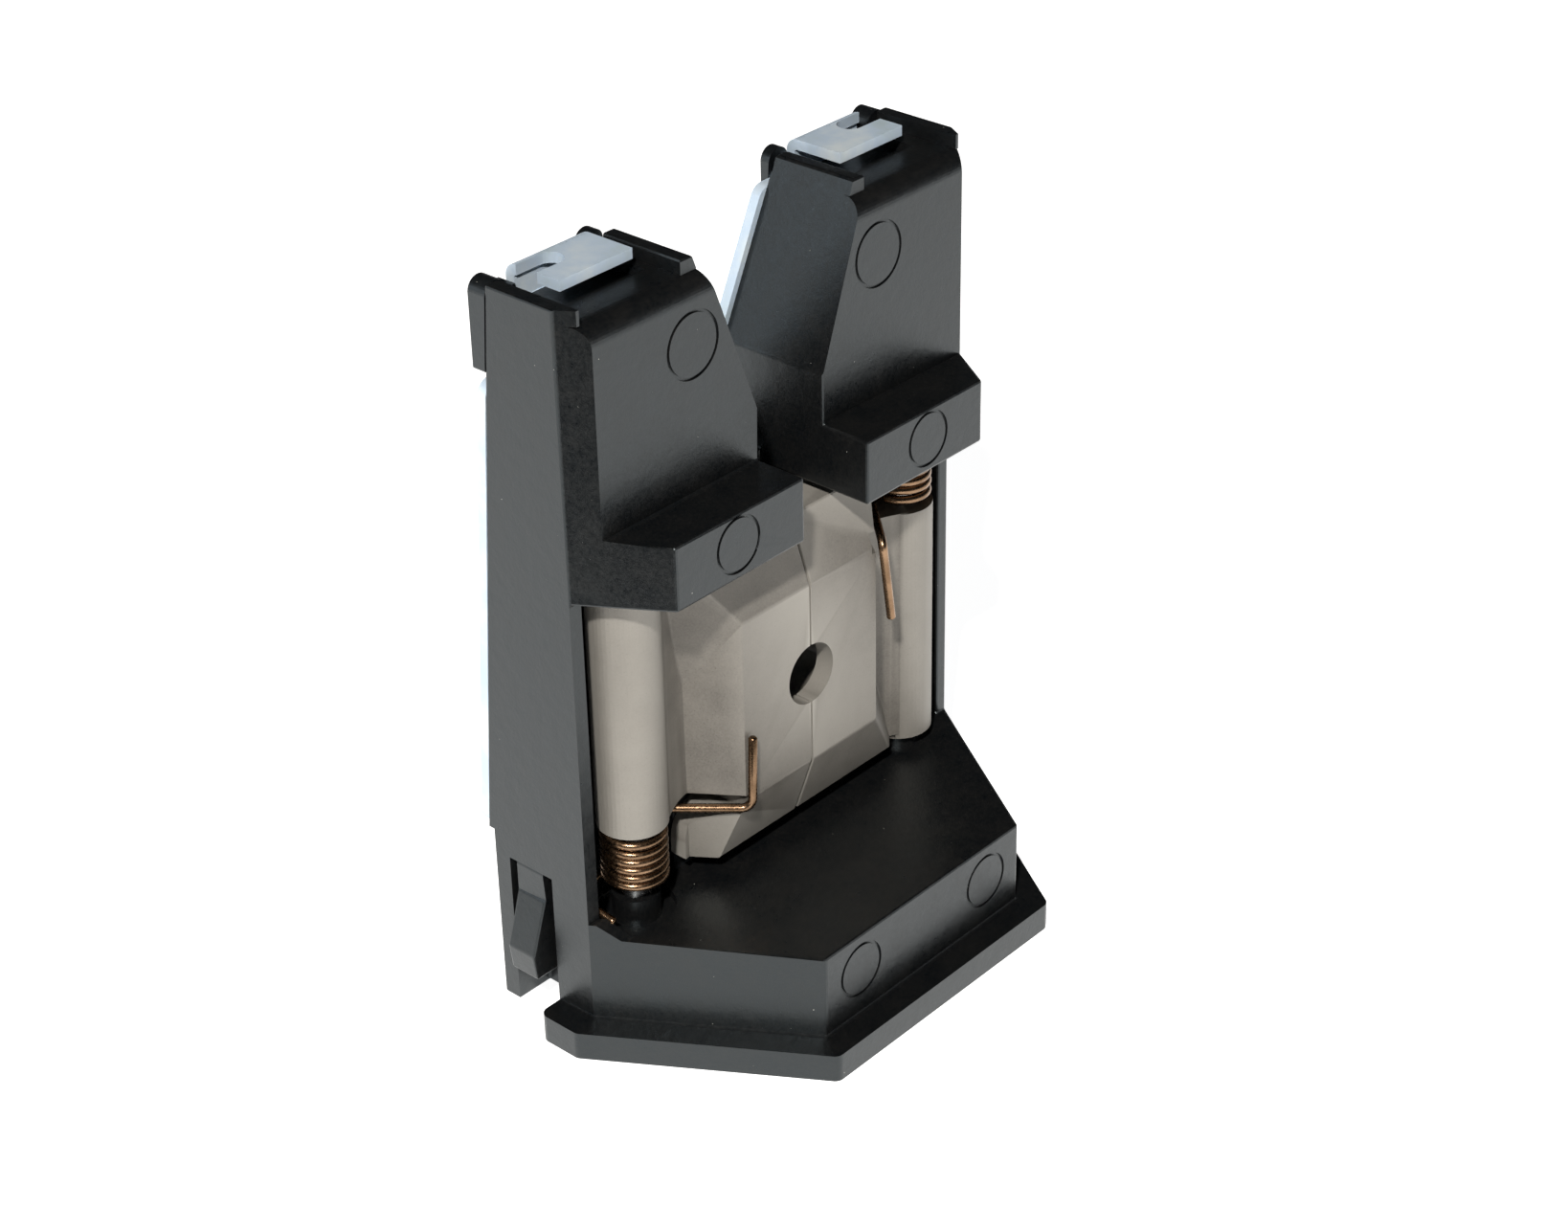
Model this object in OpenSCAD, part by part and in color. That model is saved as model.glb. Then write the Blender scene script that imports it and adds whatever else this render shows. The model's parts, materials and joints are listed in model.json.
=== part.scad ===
// Twin-jaw gate module: a moulded housing with two upright arms, two
// spring-loaded hinged jaws that meet round a guide hole, and a sheet-steel
// back plate that hooks over the arms.
// X runs across the module, Y from front to back, Z up. The origin is the
// middle of the footprint, on the underside of the flange.

/* [Body] */
// Width over the two side walls
body_w = 36; // [35:0.5:38]
// Thickness of the side walls
wall_t = 1; // [0.8:0.1:1.4]
// Height of the arm ribs above the underside
body_h = 52.2; // [51:0.1:54]
// Top of the block that the jaws stand over
block_top = 8.15; // [7.5:0.05:8.6]

/* [Flange] */
// Width of the flange
flange_w = 40; // [38.5:0.5:44]
// Thickness of the flange
flange_t = 2; // [1.6:0.1:2.6]

/* [Arms] */
// Half width of the slot between the arms
slot_half = 3; // [2.6:0.1:3.4]
// Height where the slot opens into the V
v_start = 40.7; // [39:0.1:42]
// Half width that the V gains for each millimetre of height
v_slope = 0.375; // [0.3:0.005:0.42]
// Underside of the ledges, over the jaws
ledge_z = 32.8; // [32.7:0.1:34]
// Thickness of the ledges
ledge_t = 4.45; // [3.5:0.05:5.5]

/* [Jaws] */
// Distance of each hinge pin from the middle
hinge_x = 13.2; // [13:0.1:13.5]
// Diameter of the hinge pins
pin_d = 2; // [1.8:0.1:2.2]
// Radius of the jaw's hinge barrel
barrel_r = 2.35; // [2.2:0.05:2.6]
// Diameter of the guide hole where the jaws meet
hole_d = 4.3; // [3:0.1:5]
// Gap between the closed jaws
jaw_gap = 0.16; // [0.12:0.02:0.3]

/* [Springs] */
// Wire diameter of the torsion springs
wire_d = 0.6; // [0.5:0.05:0.65]
// Outer diameter of the spring coil
coil_d = 4.5; // [4.3:0.1:4.6]
// Number of close-wound turns
turns = 6; // [4:1:6]

/* [Plate] */
// Thickness of the steel back plate
plate_t = 0.7; // [0.6:0.1:0.8]
// Lean of the plate and of the housing's back
plate_lean = 4.7; // [4:0.1:5]

/* [Hidden] */
$fn = 64;
eps = 0.01;

half_w = body_w / 2;
flange_half = flange_w / 2;

// Depths, measured from the front edge of the side walls at wall_y
wall_y = 0.5;
slant = 0.635;              // how far the slanted faces run in, per unit forward
block_y = -12.37;           // front face of the block
flange_y = -14.3;           // front edge of the flange
flange_nose = 10.87;        // half width of the flange's front edge
flange_corner_y = 0.16;     // where the flange's sides turn in
flange_back_y = 3.5;        // back edge of the flange
arm_y = -1.4;               // front face of the arms
ledge_y = -5.1;             // front face of the ledges
web_back = [4, 5.4];        // front and back of the wall behind the jaws
back_y = 8.73;              // back of the side walls below the plate
floor_z = 51.2;             // floor of the channel on top of each arm

// Back plate
plate_z = 13.1;             // its bottom edge
plate_y = 9.19;             // its front face at the bottom edge
plate_side_top = 45.6;      // top of its full width
plate_arm_half = 15.4;      // half width of the plate above that
plate_v_lap = 0.5;          // how far it shows past the V
shoulder_z = 50.3;          // top of the plate's shoulder beside the V
tab_top = 52.56;            // top face of the hooks
tab_in = 9.36;              // inner side of the hooks
tab_neck = 12.6;            // outer side of the hook's neck
tab_y = 2.43;               // front edge of the hooks
notch_y = 4.25;             // front side of the hook's notch
bend_r = 0.9;               // outer bend radius of the hooks

// Jaws
jaw_mid = 20.88;            // height of the guide hole
hinge_y = 0.9;              // depth of the hinge pins
jaw_half = 11.16;           // half height of a jaw
jaw_back = 1.6;             // back face of the jaws
face_y = -2.8;              // raised front face
face_half = 6.66;           // half height of the raised face
face_slope = 0.34;          // run back of the end chamfers per unit of height
ridge_x = 6.5;              // where the raised face turns into the ramp
valley = [8.7, 0.36];       // where the ramp meets the web
web_y = -0.25;              // front of the web that the valley's curve is drawn towards
barrel_low = 14.75;         // spring end of the left barrel
barrel_high = 32.45;        // plain end of the left barrel
slot_z = [13.3, 14.7];      // leg slot across the left ramp
foot_out = 9.1;             // outer side of the jaw's foot below that slot
foot_r = 2.4;               // rounding of the foot's outer top corner
gusset_dir = [0.64, 0.74, 0.21];  // inward normal of the facet at the barrel's plain end
membrane_t = 1.4;           // jaw thickness round the guide hole
passage_r = 3;              // radius of the passage behind the guide hole
pin_fit = 0.05;             // radial clearance of the jaw on its pin

// Springs
coil_low = 10.5;            // centre of the lowest turn of the left spring
wire_pitch = wire_d + 0.005;
leg_lift = 0.1;             // lifts the leg's turn clear of the coil as the jaw swings
seat_top = 9.4;             // top of the boss under the left spring
recess = [2.6, 0.6];        // radius and depth of the recess round that boss
coil_r = (coil_d - wire_d) / 2;
leg_y = -3.2;               // depth of the free leg where it lies on the jaw's face
leg_z = 13.9;               // height where the left spring's free leg turns up
// Distance from the middle at the free leg's bend and at its end, and its length
left_leg_run = [6.35, 6.15, 5.3];
right_leg_run = [6.7, 7.6, 6.1];

// Snap latches
latch_y = [4.45, 6.8];      // front and back side of the tongue
latch_slots = [3.62, 7.45]; // outer sides of its two slots
latch_root = 11.2;          // height where the tongue starts to flex
latch_tip = 3.6;
latch_lip = [1.26, 5.5];    // how far the wedge stands out, and where
latch_crease = 9.2;
latch_room = 1.8;           // free depth behind the tongue

tan_lean = tan(plate_lean);
plate_back = plate_y + plate_t * cos(plate_lean);
mid_y = (flange_y + plate_back) / 2;

function slant_x(y) = half_w - (wall_y - y) * slant;
function plate_front(z) = plate_y - (z - plate_z) * tan_lean;
function v_x(z) = slot_half + max(0, z - v_start) * v_slope;

// ---------------------------------------------------------------- helpers

// Puts a piece in the module's own frame, origin under its middle
module placed() {
    translate([0, -mid_y, 0]) children();
}

// The left half of a pair that mirrors across the module
module left() {
    mirror([1, 0, 0]) children();
}

// The right-hand jaw and spring are the left-hand ones turned end for end
module turned() {
    translate([0, 0, jaw_mid]) rotate([0, 180, 0]) translate([0, 0, -jaw_mid]) children();
}

// An outline in X and Z, given depth from y0 to y1
module slab(y0, y1) {
    translate([0, y1, 0]) rotate([90, 0, 0]) linear_extrude(height = y1 - y0) children();
}

// An outline in Y and Z, given width from x0 to x1
module panel(x0, x1) {
    translate([x0, 0, 0]) rotate([90, 0, 90]) linear_extrude(height = x1 - x0) children();
}

// A box from its low corner to its high corner
module box(low, high) {
    translate(low) cube(high - low);
}

// Round bar along Z
module bar(x, y, z0, z1, r) {
    translate([x, y, z0]) cylinder(r = r, h = z1 - z0);
}

// Shallow ring that an ejector pin leaves on a front face at depth y
module ejector_ring(x, z, y, r) {
    ring_w = 0.22;
    ring_depth = 0.14;
    translate([x, y + ring_depth, z]) rotate([90, 0, 0]) difference() {
        cylinder(r = r, h = 2 * ring_depth);
        translate([0, 0, -eps]) cylinder(r = r - ring_w, h = 3 * ring_depth);
    }
}

// Everything behind the plate's front face
module behind_plate() {
    reach = 80;
    translate([0, plate_y, plate_z]) rotate([plate_lean, 0, 0])
        translate([-reach / 2, 0, -reach]) cube([reach, reach, 2 * reach]);
}

function unit(v) = v / norm(v);
function tangent(p, i) = unit(p[min(i + 1, len(p) - 1)] - p[max(i - 1, 0)]);
// Two cross directions at each point, carried along so that a tube doesn't twist
function frames(p, side, i = 0) = i == len(p) ? [] :
    let (t = tangent(p, i), s = unit(side - (side * t) * t))
    concat([[s, cross(t, s)]], frames(p, s, i + 1));

// Wire of diameter d along a path
module wire(path, d, side, sides = 8) {
    f = frames(path, side);
    n = len(path);
    ring = [for (i = [0:n - 1], k = [0:sides - 1])
        path[i] + d / 2 * (cos(360 * k / sides) * f[i][0] + sin(360 * k / sides) * f[i][1])];
    skin = [for (i = [0:n - 2], k = [0:sides - 1])
        let (a = i * sides + k, b = i * sides + (k + 1) % sides)
        [a, a + sides, b + sides, b]];
    first_end = [for (k = [0:sides - 1]) k];
    last_end = [for (k = [0:sides - 1]) n * sides - 1 - k];
    polyhedron(points = ring, faces = concat(skin, [first_end, last_end]), convexity = 8);
}

// ---------------------------------------------------------------- housing

// Plan of the block and of everything that the slanted faces bound
module plan_outline(front_y, rear_y) {
    polygon([[-slant_x(front_y), front_y], [slant_x(front_y), front_y],
             [half_w, wall_y], [half_w, rear_y], [-half_w, rear_y], [-half_w, wall_y]]);
}

module flange() {
    corner_r = 0.7;
    linear_extrude(height = flange_t) offset(r = corner_r) offset(delta = -corner_r)
        polygon([[-flange_nose, flange_y], [flange_nose, flange_y],
                 [flange_half, flange_corner_y], [flange_half, flange_back_y],
                 [-flange_half, flange_back_y], [-flange_half, flange_corner_y]]);
}

module side_wall() {
    panel(half_w - wall_t, half_w)
        polygon([[wall_y, 0], [back_y, 0], [back_y, plate_z], [plate_front(plate_z), plate_z],
                 [plate_front(body_h), body_h], [wall_y, body_h]]);
}

// Right arm with its ledge, before it is hollowed
module arm_solid() {
    intersection() {
        union() {
            slab(arm_y, plate_front(ledge_z))
                polygon([[slot_half, ledge_z], [slot_half, v_start], [v_x(floor_z), floor_z],
                         [half_w, floor_z], [half_w, ledge_z]]);
            slab(ledge_y, wall_y) polygon([[slot_half, ledge_z], [slot_half, ledge_z + ledge_t],
                         [half_w, ledge_z + ledge_t], [half_w, ledge_z]]);
        }
        linear_extrude(height = body_h) plan_outline(ledge_y, plate_y + 1);
    }
}

// Ribs that stand along both sides of the arm's top
module arm_ribs() {
    rib_w = 1;
    inner = v_x(body_h);
    intersection() {
        union() {
            box([half_w - wall_t, -0.7, floor_z - 1], [half_w, plate_front(body_h), body_h]);
            slab(-0.4, plate_front(body_h))
                polygon([[v_x(floor_z) , floor_z], [inner, body_h], [inner + rib_w, body_h],
                         [inner + rib_w, floor_z - 1], [v_x(floor_z) + rib_w, floor_z - 1]]);
        }
        linear_extrude(height = body_h) plan_outline(ledge_y, plate_y + 1);
    }
}

// Hollow in the back of the arm, round the socket of the hinge pin
module arm_hollow() {
    skin = 1.5;
    front = arm_y + 1.8;
    low = ledge_z + skin;
    high = floor_z - 2;
    difference() {
        slab(front, plate_y + 1)
            polygon([[slot_half + skin, low], [slot_half + skin, v_start],
                     [v_x(high) + skin, high], [half_w - wall_t, high], [half_w - wall_t, low]]);
        bar(hinge_x, hinge_y, low - eps, low + 5, barrel_r);
    }
}

// Recess under the hook, and the rounding of the arm's front top edge
module arm_top_cuts() {
    edge_r = 1.4;
    under_hook = 0.8;
    box([tab_in - 0.5, tab_y - 0.6, floor_z - under_hook], [plate_arm_half + 0.4, plate_y, floor_z + eps]);
    translate([v_x(floor_z), arm_y + edge_r, floor_z - edge_r]) rotate([0, 90, 0])
        difference() {
            translate([-edge_r - eps, -edge_r - eps, -1])
                cube([edge_r + eps, edge_r + eps, half_w]);
            translate([0, 0, -2]) cylinder(r = edge_r, h = half_w + 2);
        }
}

// Rear wall behind the jaws, with the post that stops the right jaw and the
// rib that backs the plate
module rear_wall() {
    post = [6.6, 8.8];
    box([0, web_back[0], block_top - 1], [half_w - wall_t / 2, web_back[1], ledge_z + 1]);
    box([post[0], jaw_back + 0.05, block_top - 1], [post[1], web_back[1], ledge_z + 1]);
    box([post[0], web_back[1] - 1, plate_z], [post[0] + 1, plate_y + 1, ledge_z + 1]);
}

// Boss round a hinge pin
module seat(side, z0, z1) {
    bar(side * hinge_x, hinge_y, z0, z1, coil_r - 0.35);
}

// Boss under the left spring, with the lip that its fixed leg rests against
module spring_seat() {
    seat(-1, block_top - recess[1] - eps, seat_top);
    lip_t = 0.8;
    lip_h = 1.15;
    lip_run = 1.9;
    lip_front = wall_y - lip_run;
    difference() {
        translate([0, 0, block_top - eps]) linear_extrude(height = lip_h)
            polygon([[-half_w, wall_y], [-slant_x(lip_front), lip_front],
                     [-slant_x(lip_front) + lip_t, lip_front], [-half_w + wall_t, wall_y]]);
        translate([-half_w, lip_front, block_top]) rotate([38, 0, 0])
            translate([-1, -4, 0]) cube([6, 8, 4]);
    }
}

// Slots of the latch, with room for the tongue to flex into
module latch_cut() {
    box([half_w - wall_t - latch_room, latch_slots[0], -1], [half_w + 1, latch_slots[1], latch_root]);
    translate([half_w - wall_t / 2, latch_slots[0], latch_root]) rotate([-90, 0, 0])
        cylinder(r = wall_t / 2 + 0.05, h = latch_slots[1] - latch_slots[0]);
}

// Core in the underside of the block, with a stiffening rib left across it
module underside_core() {
    skin = 1.6;
    rib_half = 0.7;
    for (s = [-1, 1]) difference() {
        linear_extrude(height = block_top - skin, convexity = 4)
            polygon([[s * rib_half, block_y + skin], [s * (slant_x(block_y) - skin), block_y + skin],
                     [s * (hinge_x - 0.8), -4.4], [s * (hinge_x - 3.4), hinge_y],
                     [s * (hinge_x - 3.4), back_y - skin], [s * rib_half, back_y - skin]]);
        box([-half_w, -3.2, -1], [half_w, -2, block_top]);
    }
}

module housing() {
    color("#2b2e2f") placed() difference() {
        union() {
            flange();
            difference() {
                linear_extrude(height = block_top) plan_outline(block_y, back_y);
                bar(-hinge_x, hinge_y, block_top - recess[1], block_top + 1, recess[0]);
            }
            spring_seat();
            seat(1, block_top - eps, 2 * jaw_mid - barrel_high - 0.1);
            seat(1, 2 * jaw_mid - seat_top, ledge_z + eps);
            for (m = [0, 1]) mirror([m, 0, 0]) {
                side_wall();
                rear_wall();
                difference() {
                    arm_solid();
                    arm_hollow();
                }
                arm_ribs();
            }
        }
        behind_plate_cut();
        underside_core();
        ejector_marks();
        passage(web_back[0] - 1, plate_y);
        for (m = [0, 1]) mirror([m, 0, 0]) {
            arm_top_cuts();
            latch_cut();
            bar(hinge_x, hinge_y, -1, ledge_z + 4, pin_d / 2);
        }
    }
}

// Passage behind the guide hole
module passage(y0, y1) {
    translate([0, y1, jaw_mid]) rotate([90, 0, 0]) cylinder(r = passage_r, h = y1 - y0);
}

// The housing's back lies on the plate's front face above the plate's bottom edge
module behind_plate_cut() {
    intersection() {
        behind_plate();
        box([-half_w - 1, -1, plate_z], [half_w + 1, 20, body_h + 1]);
    }
}

module ejector_marks() {
    arm_mark = [8.5, 47.1, 2.25];
    ledge_mark = [9, 35.15, 1.95];
    block_mark = [6.4, 5.45, 2];
    for (s = [-1, 1]) {
        ejector_ring(s * arm_mark[0], arm_mark[1], arm_y, arm_mark[2]);
        ejector_ring(s * ledge_mark[0], ledge_mark[1], ledge_y, ledge_mark[2]);
        ejector_ring(s * block_mark[0], block_mark[1], block_y, block_mark[2]);
    }
}

// ---------------------------------------------------------------- back plate

// Outline of the flat of the plate in X and height
module plate_outline() {
    r = 1;
    v = plate_v_lap;
    difference() {
        offset(r = r) offset(delta = -r) difference() {
            union() {
                translate([-half_w, plate_z]) square([body_w, plate_side_top - plate_z]);
                translate([-plate_arm_half, plate_z]) square([2 * plate_arm_half, shoulder_z - plate_z]);
            }
            polygon([[-slot_half + v, ledge_z + 2], [slot_half - v, ledge_z + 2], [slot_half - v, v_start],
                     [v_x(body_h + 2) - v, body_h + 2], [-v_x(body_h + 2) + v, body_h + 2],
                     [-slot_half + v, v_start]]);
        }
    }
}

// One hook: up from the plate, over the bend and forward, notched from its outer side
module hook() {
    rise_y = plate_front(shoulder_z);
    bend_y = plate_front(tab_top - bend_r) + bend_r;
    neck_r = (bend_y - bend_r - notch_y) / 2;
    difference() {
        union() {
            box([tab_in, tab_y, tab_top - plate_t], [plate_arm_half, bend_y - bend_r + eps, tab_top]);
            translate([tab_in, bend_y - bend_r, tab_top - bend_r]) rotate([0, 90, 0]) difference() {
                cylinder(r = bend_r, h = plate_arm_half - tab_in);
                translate([0, 0, -1]) cylinder(r = bend_r - plate_t, h = plate_arm_half);
                translate([0, -2, -1]) cube([2, 4, plate_arm_half]);
                translate([-2, -2, -1]) cube([4, 2, plate_arm_half]);
            }
            panel(tab_in, plate_arm_half) polygon([
                [bend_y - plate_t, tab_top - bend_r], [bend_y, tab_top - bend_r],
                [rise_y + plate_t, shoulder_z - 2], [rise_y, shoulder_z - 2]]);
        }
        translate([0, 0, tab_top - plate_t - 1]) linear_extrude(height = plate_t + 2)
            polygon(concat([[half_w, notch_y + 2 * neck_r]],
                [for (a = [90:15:270]) [tab_neck + neck_r + neck_r * cos(a), notch_y + neck_r + neck_r * sin(a)]],
                [[half_w, notch_y]]));
    }
}

module back_plate() {
    color("#aeb4b8") placed() difference() {
        bent_plate();
        passage(0, plate_y + 2);
    }
}

module bent_plate() {
    union() {
        translate([0, plate_y, plate_z]) rotate([plate_lean, 0, 0])
            slab(0, plate_t) scale([1, 1 / cos(plate_lean)]) translate([0, -plate_z])
                plate_outline();
        hook();
        left() hook();
    }
}

// ---------------------------------------------------------------- rear caps

// Right cap: closes the back of the arm over the top of the plate
module rear_cap() {
    cap_back = 7.45;
    cap_low = 46.4;
    cap_top = 51.4;
    inner = 7.45;
    ear_r = 0.9;
    difference() {
        intersection() {
            union() {
                box([inner, 0, cap_low], [half_w, cap_back, cap_top]);
                for (x = [inner + ear_r, half_w - ear_r]) translate([x, cap_back, cap_top - 0.1])
                    rotate([90, 0, 0]) cylinder(r = ear_r, h = cap_back);
            }
            behind_plate();
        }
        intersection() {
            behind_plate_slice();
            box([0, 0, cap_low - 1], [plate_arm_half + 0.1, 20, body_h + 2]);
        }
        box([inner + 2 * ear_r, 0, shoulder_z - 0.5], [plate_arm_half + 0.1, 20, body_h + 2]);
    }
}

// The plate's own thickness, so that the caps clear it
module behind_plate_slice() {
    difference() {
        translate([0, -0.1, 0]) behind_plate();
        translate([0, plate_t / cos(plate_lean) + 0.02, 0]) behind_plate();
    }
}

module rear_cap_right() {
    color("#262929") placed() rear_cap();
}

module rear_cap_left() {
    color("#262929") placed() left() rear_cap();
}

// ---------------------------------------------------------------- jaws

// Plan of the jaw from its meeting face to the barrel, at its raised middle
module jaw_plan() {
    steps = 8;
    tangent_angle = -58;     // where the valley's curve leaves the barrel
    sunk_r = barrel_r - 0.1;
    a = [-hinge_x + sunk_r * cos(tangent_angle), hinge_y + sunk_r * sin(tangent_angle)];
    run = (web_y + 0.5 - a[1]) / cos(tangent_angle);
    b = a + run * [-sin(tangent_angle), cos(tangent_angle)];
    c = [-valley[0], valley[1]];
    curve = [for (i = [0:steps]) let (t = i / steps) (1 - t) * (1 - t) * a + 2 * t * (1 - t) * b + t * t * c];
    polygon(concat([[-jaw_gap / 2, face_y], [-jaw_gap / 2, jaw_back], [-hinge_x, jaw_back],
                    [-hinge_x, hinge_y]], curve, [[-ridge_x, face_y]]));
}

// Cuts the chamfer off the top of the raised face
module face_chamfer() {
    run = face_slope * (jaw_half - face_half + 1);
    translate([0, face_y, jaw_mid + face_half])
        panel(-hinge_x - 4, 1) polygon([[0, 0], [run, jaw_half - face_half + 1], [-3, jaw_half - face_half + 1], [-3, 0]]);
}

// Space for the spring and its leg under the left barrel, outside the jaw's foot
module spring_room(low) {
    difference() {
        box([-hinge_x - 1, -5, low], [-ridge_x + 0.35, 5, slot_z[1]]);
        slab(-6, 6) {
            translate([-foot_out, low - 1]) square([foot_out, slot_z[0] - foot_r - low + 1]);
            translate([-foot_out + foot_r, low - 1]) square([foot_out, slot_z[0] - low + 1]);
            translate([-foot_out + foot_r, slot_z[0] - foot_r]) circle(r = foot_r);
        }
    }
}

// Facet that fills the valley towards the barrel's plain end
module gusset() {
    z1 = jaw_mid + face_half;
    az = atan2(gusset_dir[1], gusset_dir[0]);
    el = asin(gusset_dir[2] / norm(gusset_dir));
    difference() {
        intersection() {
            box([-hinge_x, face_y, jaw_mid], [-ridge_x, jaw_back, jaw_mid + jaw_half]);
            mirror([1, 0, 0]) translate([ridge_x, face_y, z1]) rotate([0, -el, 180 - az])
                translate([0, -30, -30]) cube([60, 60, 60]);
        }
        face_chamfer();
    }
}

// Left jaw, hinge barrel on its outer side, spring end down
module left_jaw() {
    low = jaw_mid - jaw_half;
    high = jaw_mid + jaw_half;
    difference() {
        union() {
            difference() {
                translate([0, 0, low]) linear_extrude(height = high - low) jaw_plan();
                face_chamfer();
                translate([0, 0, 2 * jaw_mid]) mirror([0, 0, 1]) face_chamfer();
                spring_room(low - 1);
            }
            bar(-hinge_x, hinge_y, barrel_low, barrel_high, barrel_r);
            gusset();
        }
        bar(-hinge_x, hinge_y, low - 5, high + 5, pin_d / 2 + pin_fit);
        translate([0, face_y - 1, jaw_mid]) rotate([-90, 0, 0]) cylinder(d = hole_d, h = 10);
        translate([0, face_y + membrane_t, jaw_mid]) rotate([-90, 0, 0])
            cylinder(r = hole_d / 2 + 1.4, h = 10);
    }
}

module jaw_left() {
    color("#8b8478") placed() left_jaw();
}

module jaw_right() {
    color("#8b8478") placed() turned() left_jaw();
}

// ---------------------------------------------------------------- hinge pins

module hinge_pin() {
    chamfer = 0.25;
    low = 0.8;
    high = ledge_z + 3.8;
    translate([hinge_x, hinge_y, 0]) {
        bar(0, 0, low + chamfer, high - chamfer, pin_d / 2);
        translate([0, 0, low]) cylinder(r1 = pin_d / 2 - chamfer, r2 = pin_d / 2, h = chamfer);
        translate([0, 0, high - chamfer]) cylinder(r1 = pin_d / 2, r2 = pin_d / 2 - chamfer, h = chamfer);
    }
}

module hinge_pin_left() {
    color("#9a9c9e") placed() left() hinge_pin();
}

module hinge_pin_right() {
    color("#9a9c9e") placed() hinge_pin();
}

// ---------------------------------------------------------------- springs

hinge = [-hinge_x, hinge_y];
coil_start = 90;
coil_turns = turns - 0.72;
coil_end = coil_start - 360 * coil_turns;
step = 18;

function on_coil(a, z) = [hinge[0] + coil_r * cos(a), hinge[1] + coil_r * sin(a), z];
function coil_z(a) = coil_low + (coil_start - a) / 360 * wire_pitch;

// Left coil: fixed leg up from the block and round the outside, then the turns;
// low is the height at which the fixed leg starts
module left_coil(low) {
    wall_in = -half_w + wall_t;
    rise = 10.05 - low;
    first = on_coil(coil_start, coil_low);
    fixed_leg = [[wall_in + 0.6, -0.3, low], [wall_in + 0.45, 0.8, low + 0.28 * rise],
                 [wall_in + 0.4, 1.9, low + 0.62 * rise], [wall_in + 0.6, 2.5, low + 0.81 * rise],
                 [wall_in + 1.1, first[1], low + rise],
                 [first[0] - 1.2, first[1], coil_low - 0.15]];
    coil = [for (a = [coil_start:-step:coil_end]) on_coil(a, coil_z(a))];
    wire(concat(fixed_leg, coil), wire_d, [0, 0, 1]);
}

// Free leg: the last part turn, straight to the ridge, then along the jaw's face;
// run holds its distance from the middle at the bend and at the end, and its length
module left_leg(run) {
    bend_r = 0.7;
    bend = [-run[0], leg_y, leg_z];
    to_bend = [bend[0], bend[1]] - hinge;
    // Angle where the leg leaves the coil, on the coil's far side
    leave = atan2(to_bend[1], to_bend[0]) + acos(coil_r / norm(to_bend));
    first = coil_end - 2;
    last = leave - 360 * ceil((leave - first) / 360);
    arc_n = ceil((first - last) / step);
    arc = [for (i = [0:arc_n])
        let (a = first + (last - first) * i / arc_n) on_coil(a, coil_z(a) + leg_lift)];
    away = unit([bend[0] - arc[arc_n][0], bend[1] - arc[arc_n][1], 0]);
    up = unit([run[0] - run[1], 0, run[2]]);
    corner = [for (a = [0:22.5:90]) bend + bend_r * (sin(a) - 1) * away + bend_r * (1 - cos(a)) * up];
    wire(concat(arc, corner, [[-run[1], leg_y, leg_z + run[2]]]), wire_d, [0, 0, 1]);
}

module spring_coil_left() {
    color("#a8703c") placed() left_coil(9);
}

module spring_coil_right() {
    color("#a8703c") placed() turned() left_coil(9.5);
}

module spring_leg_left() {
    color("#a8703c") placed() left_leg(left_leg_run);
}

module spring_leg_right() {
    color("#a8703c") placed() turned() left_leg(right_leg_run);
}

// ---------------------------------------------------------------- latches

// Right tongue: flexes inward about its root, with the wedge on its outer face
module latch() {
    inner = half_w - wall_t;
    translate([0, latch_y[0], 0]) {
        slab(0, latch_y[1] - latch_y[0])
            polygon([[inner, latch_tip], [inner, latch_root], [half_w, latch_root],
                     [half_w, latch_crease], [half_w + latch_lip[0], latch_lip[1]],
                     [half_w + latch_lip[0] - 0.25, latch_tip]]);
        translate([half_w - wall_t / 2, 0, latch_root]) rotate([-90, 0, 0])
            cylinder(r = wall_t / 2, h = latch_y[1] - latch_y[0]);
    }
}

module latch_right() {
    color("#2b2e2f") placed() latch();
}

module latch_left() {
    color("#2b2e2f") placed() left() latch();
}

housing();
back_plate();
rear_cap_left();
rear_cap_right();
jaw_left();
jaw_right();
hinge_pin_left();
hinge_pin_right();
spring_coil_left();
spring_coil_right();
spring_leg_left();
spring_leg_right();
latch_left();
latch_right();
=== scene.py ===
"""Looks of the spring-loaded twin-jaw gate module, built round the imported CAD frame."""

import json
import math

import bmesh
import bpy
from mathutils import Matrix, Vector


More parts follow.
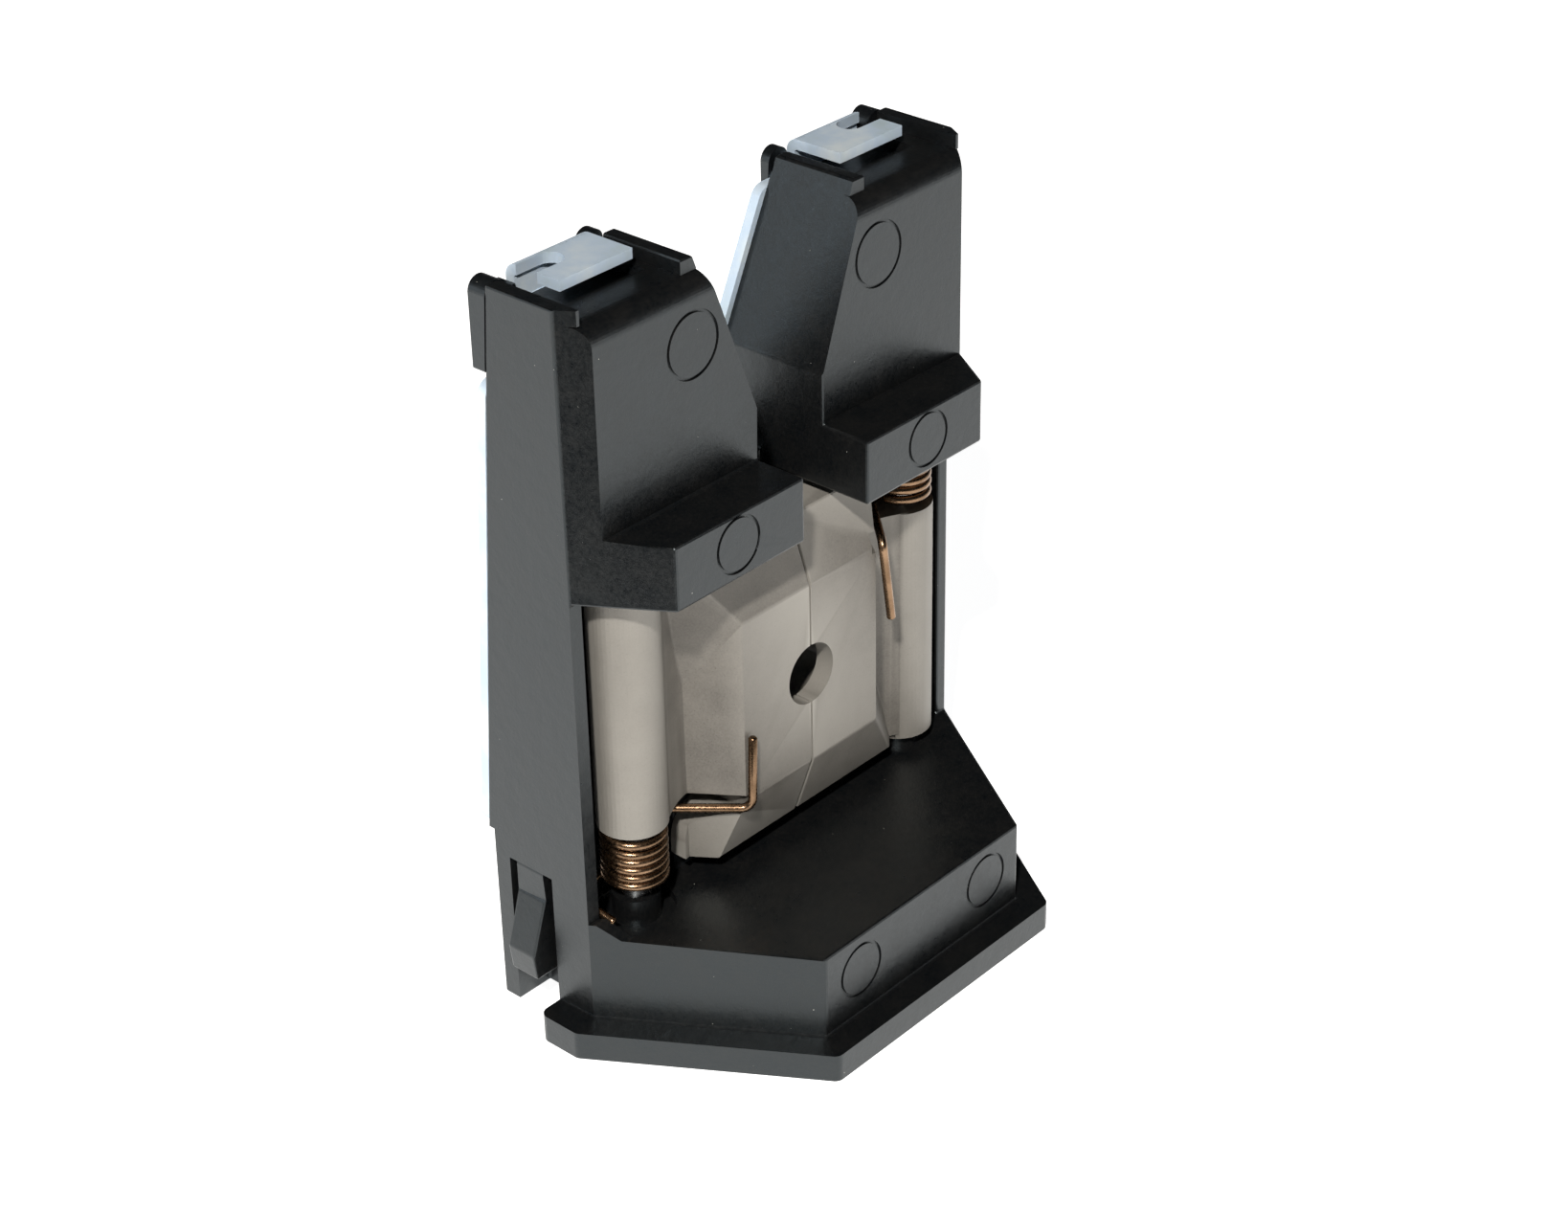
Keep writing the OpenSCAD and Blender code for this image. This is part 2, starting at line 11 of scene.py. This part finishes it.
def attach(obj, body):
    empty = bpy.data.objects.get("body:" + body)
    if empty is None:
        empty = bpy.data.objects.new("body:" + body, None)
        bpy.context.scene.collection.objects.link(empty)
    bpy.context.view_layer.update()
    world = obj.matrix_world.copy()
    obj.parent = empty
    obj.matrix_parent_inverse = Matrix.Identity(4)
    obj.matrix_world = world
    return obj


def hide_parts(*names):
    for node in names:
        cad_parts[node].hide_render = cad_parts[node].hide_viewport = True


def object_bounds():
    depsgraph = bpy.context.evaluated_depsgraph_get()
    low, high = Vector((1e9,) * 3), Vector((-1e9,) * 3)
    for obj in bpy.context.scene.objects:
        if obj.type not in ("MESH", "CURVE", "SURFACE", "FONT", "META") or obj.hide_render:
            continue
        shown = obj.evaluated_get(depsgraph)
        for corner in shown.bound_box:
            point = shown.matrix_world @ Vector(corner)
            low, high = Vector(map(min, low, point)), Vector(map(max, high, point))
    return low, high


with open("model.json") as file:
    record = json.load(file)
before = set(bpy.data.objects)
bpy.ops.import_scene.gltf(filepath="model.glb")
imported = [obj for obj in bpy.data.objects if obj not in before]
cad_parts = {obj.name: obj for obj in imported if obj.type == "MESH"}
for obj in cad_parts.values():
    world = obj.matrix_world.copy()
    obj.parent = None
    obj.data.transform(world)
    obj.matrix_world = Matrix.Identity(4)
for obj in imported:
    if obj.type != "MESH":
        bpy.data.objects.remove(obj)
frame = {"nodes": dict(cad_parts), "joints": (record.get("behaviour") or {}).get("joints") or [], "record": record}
cad_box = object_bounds()

MM = 0.001
nodes = frame["nodes"]
behaviour = frame["record"]["behaviour"]
body_of_node = {n: body for body, members in behaviour["bodies"].items() for n in members}
joint_at = {j["name"]: Vector(j["pos_m"]) for j in frame["joints"]}
scene = bpy.context.scene


def fill_ramp(node, stops):
    """Sets a colour ramp's (position, value or colour) stops."""
    elements = node.color_ramp.elements
    while len(elements) < len(stops):
        elements.new(0.5)
    for element, (position, value) in zip(elements, stops):
        element.position = position
        colour = value if isinstance(value, tuple) else (value,) * 3
        element.color = (*colour, 1)


def link_mesh(name, bm, material):
    """A new object in the scene from a bmesh, which is used up."""
    mesh = bpy.data.meshes.new(name)
    bm.to_mesh(mesh)
    bm.free()
    mesh.materials.append(material)
    obj = bpy.data.objects.new(name, mesh)
    scene.collection.objects.link(obj)
    return obj


# ---------------------------------------------------------------- camera

LEFT_PIN = joint_at["jaw_left_swing"]
CAMERA_FROM_PIN = Vector((-115.27, -117.56, 105.75)) * MM
CAMERA_AZIMUTH = math.radians(-47.89)
CAMERA_ELEVATION = math.radians(30.355)
CAMERA_ROLL = math.radians(-1.149)
FOCAL_MM = 71.51
SENSOR_WIDTH_MM = 36


def make_camera():
    """The photograph's viewing angle, as a rotation about the view axis of a level camera."""
    a, e, r = CAMERA_AZIMUTH, CAMERA_ELEVATION, CAMERA_ROLL
    back = Vector((math.sin(a) * math.cos(e), -math.cos(a) * math.cos(e), math.sin(e)))
    right = Vector((0, 0, 1)).cross(back).normalized()
    up = back.cross(right)
    x_axis = right * math.cos(r) + up * math.sin(r)
    y_axis = up * math.cos(r) - right * math.sin(r)
    data = bpy.data.cameras.new("camera")
    data.sensor_fit = "HORIZONTAL"
    data.sensor_width = SENSOR_WIDTH_MM
    data.lens = FOCAL_MM
    data.clip_start = 0.005
    camera = bpy.data.objects.new("camera", data)
    scene.collection.objects.link(camera)
    rotation = Matrix((x_axis, y_axis, back)).transposed().to_4x4()
    camera.matrix_world = Matrix.Translation(LEFT_PIN + CAMERA_FROM_PIN) @ rotation
    scene.camera = camera


# ---------------------------------------------------------------- materials


# Sockets of a Mix node that is set to colour
MIX_FACTOR, MIX_COLOUR_A, MIX_COLOUR_B, MIX_COLOUR_RESULT = 0, 6, 7, 2


class Nodes:
    """A small helper that adds nodes to a material and links them."""

    def __init__(self, name):
        self.material = bpy.data.materials.new(name)
        self.material.use_nodes = True
        self.tree = self.material.node_tree
        self.shader = self.tree.nodes["Principled BSDF"]
        self.place = self.add("ShaderNodeTexCoord").outputs["Object"]

    def add(self, kind, **settings):
        node = self.tree.nodes.new(kind)
        for key, value in settings.items():
            setattr(node, key, value)
        return node

    def link(self, source, target):
        self.tree.links.new(source, target)

    def texture(self, kind, per_mm, stretch=(1, 1, 1)):
        """A texture node of that kind, scaled to about per_mm grains to the millimetre."""
        mapping = self.add("ShaderNodeMapping")
        mapping.inputs["Scale"].default_value = [per_mm / MM * s for s in stretch]
        self.link(self.place, mapping.inputs["Vector"])
        node = self.add(kind)
        node.inputs["Scale"].default_value = 1.0
        self.link(mapping.outputs["Vector"], node.inputs["Vector"])
        return node

    def attach(self, source, socket):
        """Puts a number, a colour or another node's output on a socket."""
        if isinstance(source, (int, float)):
            socket.default_value = source
        elif isinstance(source, tuple):
            socket.default_value = (*source, 1)
        else:
            self.link(source, socket)

    def noise(self, per_mm, detail=3.0, rough=0.5, stretch=(1, 1, 1)):
        node = self.texture("ShaderNodeTexNoise", per_mm, stretch)
        node.inputs["Detail"].default_value = detail
        node.inputs["Roughness"].default_value = rough
        return node.outputs["Fac"]

    def cells(self, per_mm):
        """Distance to the nearest of scattered points, in cells."""
        return self.texture("ShaderNodeTexVoronoi", per_mm).outputs["Distance"]

    def ramp(self, source, stops):
        """Colour ramp from (position, value or colour) stops."""
        node = self.add("ShaderNodeValToRGB")
        fill_ramp(node, stops)
        self.link(source, node.inputs["Fac"])
        return node.outputs["Color"]

    def mix(self, factor, a, b):
        node = self.add("ShaderNodeMix", data_type="RGBA")
        self.attach(factor, node.inputs[MIX_FACTOR])
        self.attach(a, node.inputs[MIX_COLOUR_A])
        self.attach(b, node.inputs[MIX_COLOUR_B])
        return node.outputs[MIX_COLOUR_RESULT]

    def maths(self, operation, a, b):
        node = self.add("ShaderNodeMath", operation=operation)
        self.attach(a, node.inputs[0])
        self.attach(b, node.inputs[1])
        return node.outputs[0]

    def bump(self, height, depth_mm, normal=None):
        """Bump of that depth, stacked on an earlier normal."""
        node = self.add("ShaderNodeBump")
        node.inputs["Strength"].default_value = 1.0
        node.inputs["Distance"].default_value = depth_mm * MM
        self.link(height, node.inputs["Height"])
        if normal:
            self.link(normal, node.inputs["Normal"])
        return node.outputs["Normal"]

    def painted_edge_highlight(self):
        """Mask for a painted edge highlight: 0 on flats to 1 on sharp outer edges."""
        pointiness = self.add("ShaderNodeNewGeometry").outputs["Pointiness"]
        return self.ramp(pointiness, [(0.52, 0.0), (0.6, 1.0)])

    def finish(self, colour, roughness, normal, **uniform):
        """Links what varies over the surface and sets what doesn't."""
        self.link(colour, self.shader.inputs["Base Color"])
        self.link(roughness, self.shader.inputs["Roughness"])
        self.link(normal, self.shader.inputs["Normal"])
        for key, value in uniform.items():
            self.shader.inputs[key].default_value = value
        return self.material


def plastic(name, low, high, rough_low, rough_high):
    """Glass-filled black moulding: fine grain, faint flow mottling and a few bright fibre ends."""
    grain_mm = 0.009
    largest_speck = 0.05
    n = Nodes(name)
    mottle = n.noise(0.5, 5.0, 0.65)
    grain = n.noise(4.0, 3.0, 0.65)
    fine = n.noise(11.0, 2.0, 0.6)
    size = n.ramp(n.noise(0.9, 1.0), [(0.45, 0.0), (0.75, 1.0)])
    is_speck = n.maths("LESS_THAN", n.cells(1.3), n.maths("MULTIPLY", size, largest_speck))
    colour = n.ramp(n.mix(0.45, mottle, grain), [(0.3, low), (0.7, high)])
    colour = n.mix(is_speck, colour, (0.55, 0.55, 0.5))
    roughness = n.ramp(n.mix(0.6, mottle, grain), [(0.3, rough_low), (0.72, rough_high)])
    normal = n.bump(n.noise(1.1, 2.0), 0.02)
    normal = n.bump(grain, grain_mm, normal)
    normal = n.bump(fine, grain_mm * 0.5, normal)
    return n.finish(colour, roughness, normal, **{"IOR": 1.54, "Specular Tint": (0.86, 0.96, 1.0, 1)})


def sintered(name):
    """Warm grey sintered steel: fine pores and specks, with a painted highlight that lightens its sharp outer
    edges.
    """
    n = Nodes(name)
    mottle = n.noise(0.35, 4.0, 0.65)
    grain = n.noise(7.0, 3.0, 0.65)
    dark, light = (0.115, 0.106, 0.093), (0.22, 0.205, 0.18)
    colour = n.ramp(n.mix(0.55, mottle, grain), [(0.28, dark), (0.72, light)])
    pore = n.ramp(n.cells(3.2), [(0.05, 1.0), (0.16, 0.0)])
    colour = n.mix(n.maths("MULTIPLY", pore, 0.5), colour, (0.05, 0.045, 0.04))
    # Painted highlight: sharp outer edges are lightened towards pale grey, as if they catch the light
    colour = n.mix(n.maths("MULTIPLY", n.painted_edge_highlight(), 0.8), colour, (0.42, 0.4, 0.36))
    roughness = n.ramp(grain, [(0.3, 0.46), (0.75, 0.64)])
    normal = n.bump(mottle, 0.01)
    normal = n.bump(grain, 0.012, normal)
    return n.finish(colour, roughness, normal, Metallic=0.35)


def zinc(name):
    """Bright zinc plate with a faint blue passivation and rolling marks."""
    n = Nodes(name)
    mottle = n.noise(0.25, 4.0, 0.6)
    marks = n.noise(2.5, 3.0, 0.6, (1, 0.12, 1))
    green, blue, pale = (0.5, 0.6, 0.64), (0.55, 0.66, 0.78), (0.7, 0.77, 0.8)
    colour = n.ramp(mottle, [(0.3, green), (0.5, blue), (0.72, pale)])
    roughness = n.ramp(n.mix(0.5, mottle, marks), [(0.3, 0.38), (0.7, 0.55)])
    normal = n.bump(marks, 0.003)
    normal = n.bump(n.noise(5.0, 2.0), 0.003, normal)
    return n.finish(colour, roughness, normal, Metallic=0.25)


def wire_steel(name, low, high):
    """Drawn wire with a heat tint that varies along it."""
    n = Nodes(name)
    tint = n.noise(0.5, 3.0, 0.6)
    draw = n.noise(6.0, 2.0, 0.6)
    colour = n.ramp(tint, [(0.3, low), (0.7, high)])
    roughness = n.ramp(draw, [(0.3, 0.2), (0.7, 0.36)])
    return n.finish(colour, roughness, n.bump(draw, 0.004), Metallic=1.0)


def pale_floor(name):
    """Bright backlit paper."""
    n = Nodes(name)
    soft = n.noise(0.004, 2.0)
    colour = n.ramp(soft, [(0.3, (0.8, 0.8, 0.79)), (0.7, (0.82, 0.82, 0.82))])
    roughness = n.ramp(soft, [(0.0, 0.85), (1.0, 0.9)])
    return n.finish(colour, roughness, n.bump(soft, 0.001),
                    **{"Emission Color": (1, 1, 1, 1), "Emission Strength": 0.95})


def black_cloth(name):
    """Matt black studio cloth."""
    n = Nodes(name)
    weave = n.noise(2.0, 2.0)
    colour = n.ramp(weave, [(0.3, 0.006), (0.7, 0.01)])
    roughness = n.ramp(weave, [(0.3, 0.9), (0.7, 1.0)])
    return n.finish(colour, roughness, n.bump(weave, 0.02), **{"Specular IOR Level": 0.1})


# ---------------------------------------------------------------- pieces

WELD = 1e-6
FLAT_ANGLE = math.radians(0.4)
SHARP_ANGLE = math.radians(11)
SHORTEST_ROUNDED = 0.8 * MM


def add_mesh(name, bm, material, body):
    """A finished piece from a bmesh, riding on a body."""
    obj = link_mesh(name, bm, material)
    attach(obj, body)
    return obj


def smooth(obj, sharp_angle):
    """Smooth shading, with edges above that many degrees kept sharp."""
    obj.data.shade_smooth()
    obj.data.set_sharp_from_angle(angle=math.radians(sharp_angle))
    flat = obj.modifiers.new("weighted", "WEIGHTED_NORMAL")
    flat.keep_sharp = True


def softened(node, material, radius_mm):
    """A copy of a CAD node with its long straight edges rounded, standing for that node."""
    bm = bmesh.new()
    bm.from_mesh(nodes[node].data)
    bmesh.ops.remove_doubles(bm, verts=bm.verts, dist=WELD)
    bmesh.ops.dissolve_limit(bm, angle_limit=FLAT_ANGLE, verts=bm.verts, edges=bm.edges)
    bmesh.ops.dissolve_degenerate(bm, dist=2 * WELD, edges=bm.edges)
    bm.normal_update()
    sharp = {e for e in bm.edges if e.calc_face_angle(0) > SHARP_ANGLE}
    short = {e for e in sharp if e.calc_length() < SHORTEST_ROUNDED}
    near_curves = {v for e in short for v in e.verts}
    sharp = [e for e in sharp - short if not near_curves.intersection(e.verts)]
    bmesh.ops.bevel(
        bm, geom=sharp, offset=radius_mm * MM, offset_type="OFFSET", segments=2,
        profile=0.5, affect="EDGES", clamp_overlap=False, miter_outer="SHARP", miter_inner="SHARP",
    )
    obj = add_mesh(node + "_soft", bm, material, body_of_node[node])
    smooth(obj, 12)
    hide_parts(node)


def tube(name, path, diameter, material, body):
    """Round wire along a path of points, with slightly rounded ends."""
    bm = bmesh.new()
    sides = 18
    r = diameter / 2
    lead = 0.35 * r
    end_scale = 0.7
    inward = (path[1] - path[0]).normalized() * lead
    outward = (path[-1] - path[-2]).normalized() * lead
    stations = [(path[0], end_scale), (path[0] + inward, 1.0)]
    stations += [(p, 1.0) for p in path[1:-1]]
    stations += [(path[-1] - outward, 1.0), (path[-1], end_scale)]
    side = Vector((0, 0, 1))
    rings = []
    for i, (point, scale) in enumerate(stations):
        before = stations[max(i - 1, 0)][0]
        after = stations[min(i + 1, len(stations) - 1)][0]
        along = (after - before).normalized()
        side = (side - along * side.dot(along)).normalized()
        other = along.cross(side)
        rings.append([
            bm.verts.new(point + r * scale * (side * math.cos(t) + other * math.sin(t)))
            for t in (2 * math.pi * k / sides for k in range(sides))
        ])
    for a, b in zip(rings, rings[1:]):
        for k in range(sides):
            m = (k + 1) % sides
            bm.faces.new((a[k], a[m], b[m], b[k]))
    bm.faces.new(list(reversed(rings[0])))
    bm.faces.new(rings[-1])
    bm.normal_update()
    obj = add_mesh(name, bm, material, body)
    smooth(obj, 50)
    return obj


# ---------------------------------------------------------------- springs

# All in millimetres and degrees. x and y are from the hinge axis, z is from the base.
WIRE = 0.6
COIL_R = 1.95
PITCH = 0.605
COIL_LOW = 10.5
COIL_START = 90
COIL_END = COIL_START - 360 * 5.28
COIL_STEP = 6
FIXED_TOP = 10.05
FIXED_LOW = {"left": 9.0, "right": 9.5}
LEG_Y = -4.1
LEG_Z = 13.9
LEG_LIFT = 0.1
LEG_BEND_R = 0.7
# x at the bend, x at the end, and length of each free leg
LEG_RUNS = {"left": (6.85, 7.05, 5.3), "right": (6.5, 5.6, 6.1)}
JAW_MID = LEFT_PIN.z / MM


def on_coil(degrees, lift=0.0):
    """Point on the left coil."""
    t = math.radians(degrees)
    z = COIL_LOW + (COIL_START - degrees) / 360 * PITCH + lift
    return Vector((COIL_R * math.cos(t), COIL_R * math.sin(t), z))


def eased(points, count):
    """Smooth curve through control points (Catmull-Rom)."""
    pts = [points[0] * 2 - points[1], *points, points[-1] * 2 - points[-2]]
    out = []
    for a, b, c, d in zip(pts, pts[1:], pts[2:], pts[3:]):
        for k in range(count):
            t = k / count
            out.append(0.5 * ((2 * b) + (c - a) * t + (2 * a - 5 * b + 4 * c - d) * t * t
                              + (3 * b - a - 3 * c + d) * t ** 3))
    return out + [points[-1]]


def coil_path(low):
    """Fixed leg, starting at height low, and the turns."""
    first = on_coil(COIL_START)
    rise = FIXED_TOP - low
    fixed = [
        Vector((-3.2, -1.2, low)), Vector((-3.35, -0.1, low + 0.28 * rise)),
        Vector((-3.4, 1.0, low + 0.62 * rise)), Vector((-3.2, 1.6, low + 0.81 * rise)),
        Vector((-2.7, first.y, low + rise)), Vector((-1.2, first.y, first.z - 0.15)), first,
    ]
    steps = int((COIL_START - COIL_END) / COIL_STEP)
    return eased(fixed, 5) + [on_coil(COIL_START - COIL_STEP * k) for k in range(1, steps + 1)]


def leg_path(bend_x, end_x, length):
    """Last part turn, straight run to the bend, and the free end."""
    bend = Vector((bend_x, LEG_Y, LEG_Z))
    end = Vector((end_x, LEG_Y, LEG_Z + length))
    reach = math.hypot(bend.x, bend.y)
    leave = math.degrees(math.atan2(bend.y, bend.x) + math.acos(COIL_R / reach))
    first = COIL_END - 2
    last = leave - 360 * math.ceil((leave - first) / 360)
    count = int((first - last) / COIL_STEP)
    arc = [on_coil(first + (last - first) * k / count, LEG_LIFT) for k in range(count + 1)]
    away = bend - arc[-1]
    away.z = 0
    away.normalize()
    up = (end - bend).normalized()
    corner = [
        bend + away * LEG_BEND_R * (math.sin(t) - 1) + up * LEG_BEND_R * (1 - math.cos(t))
        for t in (math.radians(9 * k) for k in range(11))
    ]
    return arc + corner + [end]


def placed(points, side):
    """Left spring's points in the shared frame; the right spring is turned end for end."""
    pin = joint_at[f"jaw_{side}_swing"]
    if side == "right":
        points = [Vector((-p.x, p.y, 2 * JAW_MID - p.z)) for p in points]
    return [Vector((pin.x + p.x * MM, pin.y + p.y * MM, p.z * MM)) for p in points]


def make_springs(material):
    """Each spring in two pieces: the turns, and the leg that follows the jaw."""
    for side in ("left", "right"):
        coil = tube(f"spring_coil_{side}_wire", placed(coil_path(FIXED_LOW[side]), side), WIRE * MM,
                    material, "frame")
        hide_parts(f"spring_coil_{side}")
        leg = tube(f"spring_leg_{side}_wire", placed(leg_path(*LEG_RUNS[side]), side), WIRE * MM,
                   material, f"{side}_jaw")
        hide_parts(f"spring_leg_{side}")


# ---------------------------------------------------------------- light and floor

# Directions towards each thing from the middle of the object
CENTRE = Vector((0, 0, 0.02))
KEY_FROM = Vector((-0.58, -0.4, 0.71))
FILL_FROM = Vector((-0.8, 0.55, 0.3))
FLAG_FROM = Vector((-0.92, -0.39, 0))
FLAG_ACROSS = Vector((0.39, -0.92, 0))
FLAG_DISTANCE = 0.05
FLAG_HALF_WIDTH = 0.02
FLAG_HEIGHTS = (0.004, 0.08)
FLOOR_REACH = 1.5
FLOOR_GAP = 0.00002
# The world's colour, by the height of the direction, from the horizon to overhead
SKY = [(0.0, (0.12, 0.13, 0.14)), (0.2, (0.04, 0.045, 0.05)), (0.45, (0.008, 0.009, 0.01)),
       (1.0, (0.01, 0.01, 0.011))]


def area_light(name, direction, distance, size, watts, colour):
    """Round area light that faces the object."""
    light = bpy.data.lights.new(name, "AREA")
    light.shape = "DISK"
    light.size = size
    light.energy = watts
    light.color = colour
    lamp = bpy.data.objects.new(name, light)
    lamp.location = CENTRE + direction.normalized() * distance
    lamp.rotation_mode = "QUATERNION"
    lamp.rotation_quaternion = (-direction).to_track_quat("-Z", "Y")
    scene.collection.objects.link(lamp)


def make_light():
    """A small warm key, a low weak fill, and a dim ceiling that the top faces reflect."""
    area_light("key", KEY_FROM, 0.6, 0.035, 4.3, (1.0, 0.965, 0.92))
    area_light("fill", FILL_FROM, 0.7, 0.3, 0.5, (0.9, 0.95, 1.0))
    world = bpy.data.worlds.new("studio")
    scene.world = world
    world.use_nodes = True
    tree = world.node_tree
    coordinates = tree.nodes.new("ShaderNodeTexCoord")
    split = tree.nodes.new("ShaderNodeSeparateXYZ")
    tree.links.new(coordinates.outputs["Generated"], split.inputs[0])
    ramp = tree.nodes.new("ShaderNodeValToRGB")
    fill_ramp(ramp, SKY)
    tree.links.new(split.outputs["Z"], ramp.inputs["Fac"])
    tree.links.new(ramp.outputs["Color"], tree.nodes["Background"].inputs["Color"])


def stage_mesh(name, corners, material):
    """A flat sheet of the stage."""
    bm = bmesh.new()
    bm.faces.new([bm.verts.new(v) for v in corners])
    obj = link_mesh(name, bm, material)
    return obj


def make_stage():
    """White floor, and a black flag off to the front left that only reflections see."""
    z = cad_box[0][2] - FLOOR_GAP
    square = ((-1, -1), (1, -1), (1, 1), (-1, 1))
    stage_mesh("floor", [(x * FLOOR_REACH, y * FLOOR_REACH, z) for x, y in square],
               pale_floor("pale_floor"))
    middle = FLAG_FROM * FLAG_DISTANCE + Vector((0, 0, z))
    half = FLAG_ACROSS * FLAG_HALF_WIDTH
    low, high = (Vector((0, 0, height)) for height in FLAG_HEIGHTS)
    flag = stage_mesh("flag", [middle - half + low, middle + half + low,
                               middle + half + high, middle - half + high],
                      black_cloth("black_cloth"))
    flag.visible_camera = False
    flag.visible_diffuse = False
    flag.visible_shadow = False


# ---------------------------------------------------------------- build

make_camera()

housing_black = plastic("housing_black", (0.002, 0.003, 0.004), (0.009, 0.0085, 0.008), 0.26, 0.42)
cap_black = plastic("cap_black", (0.002, 0.003, 0.004), (0.008, 0.0085, 0.009), 0.28, 0.44)
jaw_steel = sintered("jaw_steel")
plate_zinc = zinc("plate_zinc")
spring_bronze = wire_steel("spring_bronze", (0.13, 0.08, 0.045), (0.3, 0.19, 0.115))
pin_steel = wire_steel("pin_steel", (0.42, 0.42, 0.42), (0.55, 0.55, 0.54))

softened("housing", housing_black, 0.16)
softened("back_plate", plate_zinc, 0.1)
for side in ("left", "right"):
    softened(f"rear_cap_{side}", cap_black, 0.12)
    softened(f"jaw_{side}", jaw_steel, 0.14)
    softened(f"hinge_pin_{side}", pin_steel, 0.05)
    softened(f"latch_{side}", housing_black, 0.12)
make_springs(spring_bronze)

make_stage()
make_light()
scene.view_settings.view_transform = "Standard"
scene.view_settings.look = "None"
